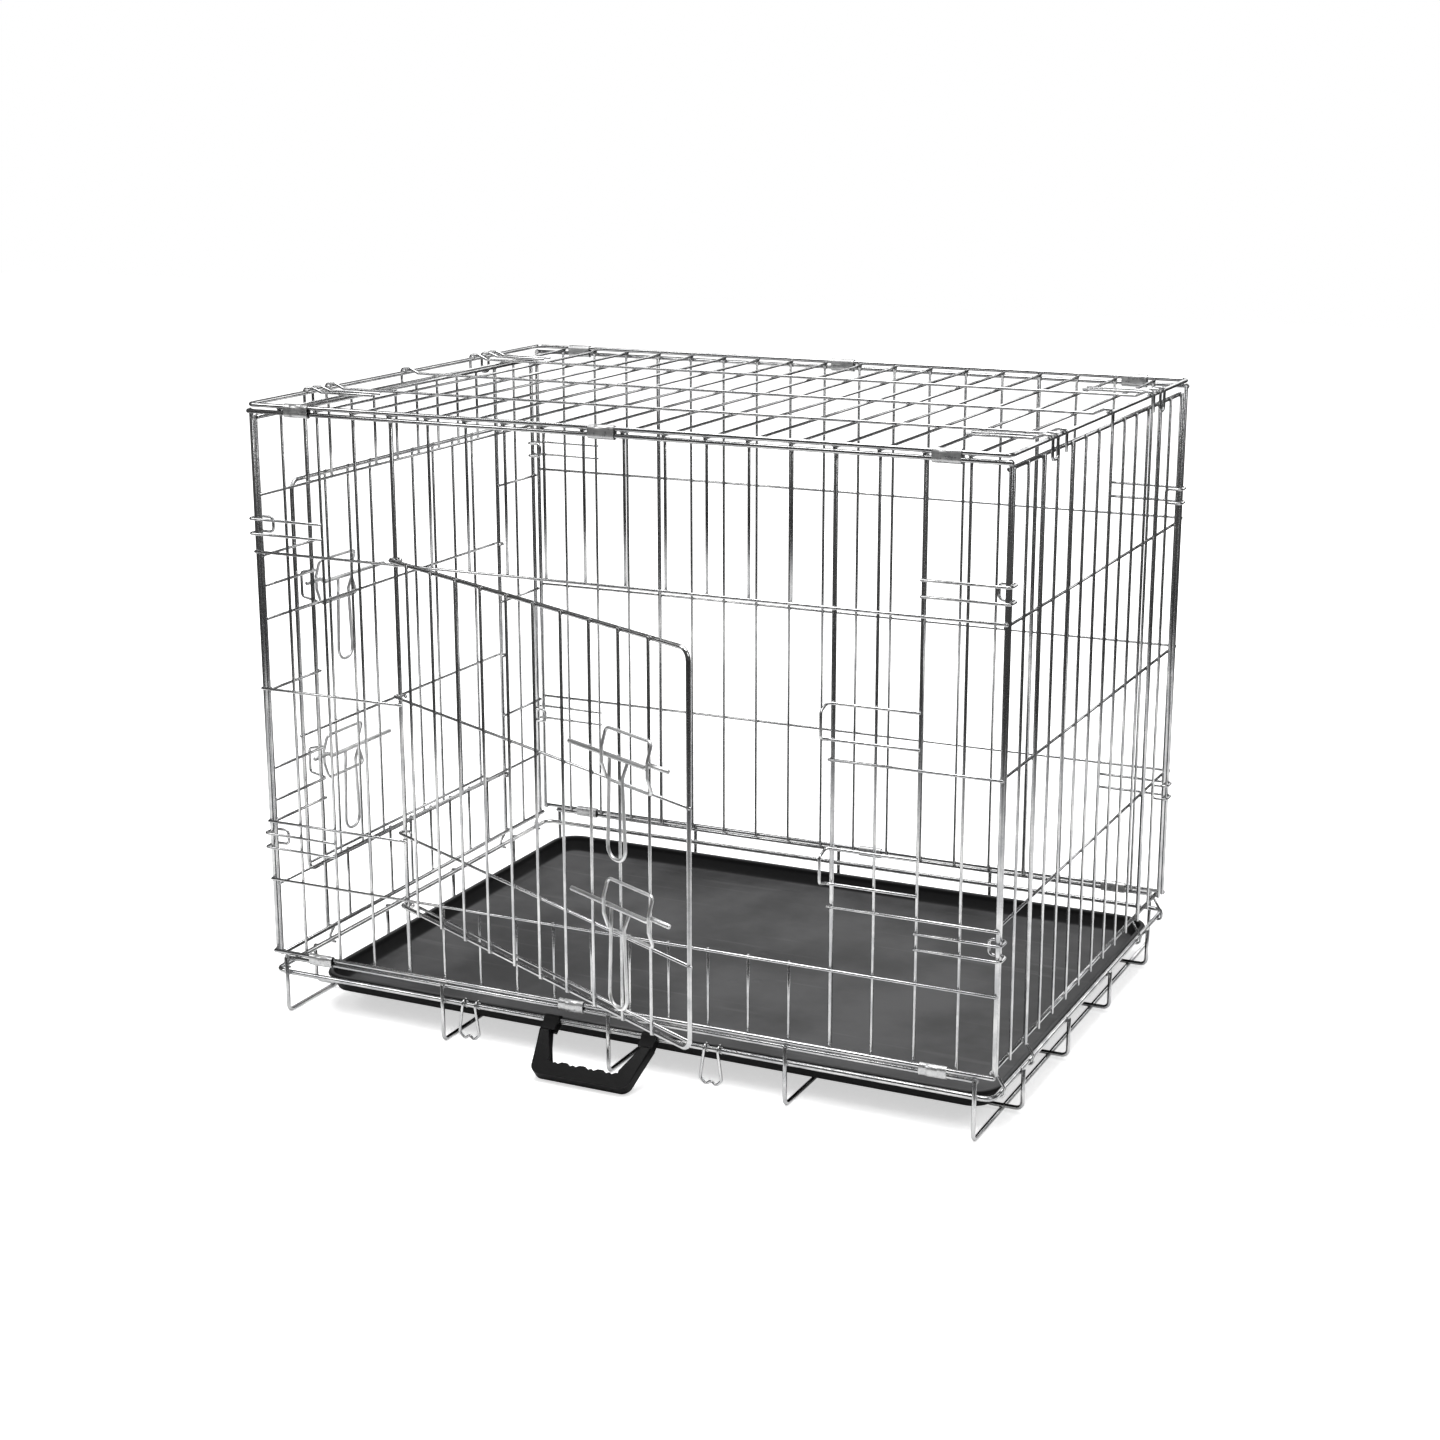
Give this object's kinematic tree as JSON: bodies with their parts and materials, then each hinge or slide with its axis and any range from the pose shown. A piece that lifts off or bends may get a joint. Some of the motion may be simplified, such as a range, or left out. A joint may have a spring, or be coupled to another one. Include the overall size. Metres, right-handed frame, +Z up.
{
  "type": "folding dog cage",
  "caption": "Folding wire dog cage with a front door and an end door on slide bolts, fold-in end grids, a lift-out tray and a carry handle.",
  "frame": {"origin": "on the floor, under the middle of the cage, at the underside of the middle foot wire", "axes": "+Z up, +X along the long side towards the plain end grid, -Y out of the front door side"},
  "size_m": [0.7843, 0.7688, 0.617],
  "materials": {
    "zinc_wire": "bright zinc plate on drawn steel wire",
    "clip_sheet": "bright zinc plate on bent sheet",
    "tray_plastic": "black, lightly textured",
    "handle_plastic": "black moulded plastic"
  },
  "bodies": {
    "cage": {"back_bottom_clip_1": "clip_sheet", "back_bottom_clip_2": "clip_sheet", "back_bottom_clip_3": "clip_sheet", "back_left_lower_catch": "zinc_wire", "back_left_upper_catch": "zinc_wire", "back_panel": "zinc_wire", "back_right_lower_catch": "zinc_wire", "back_right_upper_catch": "zinc_wire", "back_top_clip_1": "clip_sheet", "back_top_clip_2": "clip_sheet", "back_top_clip_3": "clip_sheet", "base_frame": "zinc_wire", "front_bottom_clip_1": "clip_sheet", "front_bottom_clip_2": "clip_sheet", "front_bottom_clip_3": "clip_sheet", "front_left_lower_catch": "zinc_wire", "front_left_upper_catch": "zinc_wire", "front_lower_keeper": "zinc_wire", "front_panel": "zinc_wire", "front_right_lower_catch": "zinc_wire", "front_right_upper_catch": "zinc_wire", "front_top_clip_1": "clip_sheet", "front_top_clip_2": "clip_sheet", "front_top_clip_3": "clip_sheet", "front_upper_keeper": "zinc_wire", "left_back_top_catch": "zinc_wire", "left_front_top_catch": "zinc_wire", "right_back_top_catch": "zinc_wire", "right_front_top_catch": "zinc_wire", "top_panel": "zinc_wire"},
    "left_end": {"left_end_panel": "zinc_wire", "end_lower_keeper": "zinc_wire", "end_upper_keeper": "zinc_wire"},
    "right_end": {"right_end_panel": "zinc_wire"},
    "front_door": {"front_door": "zinc_wire", "front_door_lower_guide": "zinc_wire", "front_door_upper_guide": "zinc_wire"},
    "front_lower_bolt": {"front_door_lower_bolt": "zinc_wire"},
    "front_upper_bolt": {"front_door_upper_bolt": "zinc_wire"},
    "end_door": {"end_door": "zinc_wire", "end_door_lower_guide": "zinc_wire", "end_door_upper_guide": "zinc_wire"},
    "end_lower_bolt": {"end_door_lower_bolt": "zinc_wire"},
    "end_upper_bolt": {"end_door_upper_bolt": "zinc_wire"},
    "tray": {"tray": "tray_plastic"},
    "carry_handle": {"carry_handle": "handle_plastic", "carry_handle_left_loop": "handle_plastic", "carry_handle_right_loop": "handle_plastic"},
    "left_fold_clip": {"left_fold_clip": "zinc_wire"},
    "right_fold_clip": {"right_fold_clip": "zinc_wire"}
  },
  "joints": [
    {"name": "front_door_swing", "type": "hinge", "parent": "cage", "child": "front_door", "pos_m": [-0.22275, -0.2741, 0.3], "axis": [0, 0, 1], "range_deg": [-103.5, 26.05]},
    {"name": "front_lower_bolt_slide", "type": "slide", "parent": "front_door", "child": "front_lower_bolt", "axis": [0.8949, -0.4462, 0], "range_m": [0, 0.028]},
    {"name": "front_upper_bolt_slide", "type": "slide", "parent": "front_door", "child": "front_upper_bolt", "axis": [0.8949, -0.4462, 0], "range_m": [0, 0.028]},
    {"name": "left_end_fold", "type": "hinge", "parent": "cage", "child": "left_end", "pos_m": [-0.37975, 0, 0.042], "axis": [0, 1, 0], "range_deg": [0, 88]},
    {"name": "end_door_swing", "type": "hinge", "parent": "left_end", "child": "end_door", "pos_m": [-0.38125, 0.18332, 0.3], "axis": [0, 0, 1], "range_deg": [-130, 0]},
    {"name": "end_lower_bolt_slide", "type": "slide", "parent": "end_door", "child": "end_lower_bolt", "axis": [0, -1, 0], "range_m": [0, 0.028]},
    {"name": "end_upper_bolt_slide", "type": "slide", "parent": "end_door", "child": "end_upper_bolt", "axis": [0, -1, 0], "range_m": [0, 0.028]},
    {"name": "right_end_fold", "type": "hinge", "parent": "cage", "child": "right_end", "pos_m": [0.37975, 0, 0.042], "axis": [0, -1, 0], "range_deg": [0, 79]},
    {"name": "tray_slide", "type": "slide", "parent": "cage", "child": "tray", "axis": [1, 0, 0], "range_m": [-0.025, 0]},
    {"name": "carry_handle_swing", "type": "hinge", "parent": "cage", "child": "carry_handle", "pos_m": [-0.009, -0.27775, 0.042], "axis": [-1, 0, 0], "range_deg": [0, 85]},
    {"name": "left_fold_clip_swing", "type": "hinge", "parent": "cage", "child": "left_fold_clip", "pos_m": [-0.152, -0.27775, 0.042], "axis": [-1, 0, 0], "range_deg": [0, 120]},
    {"name": "right_fold_clip_swing", "type": "hinge", "parent": "cage", "child": "right_fold_clip", "pos_m": [0.1075, -0.27775, 0.042], "axis": [-1, 0, 0], "range_deg": [0, 120]}
  ]
}
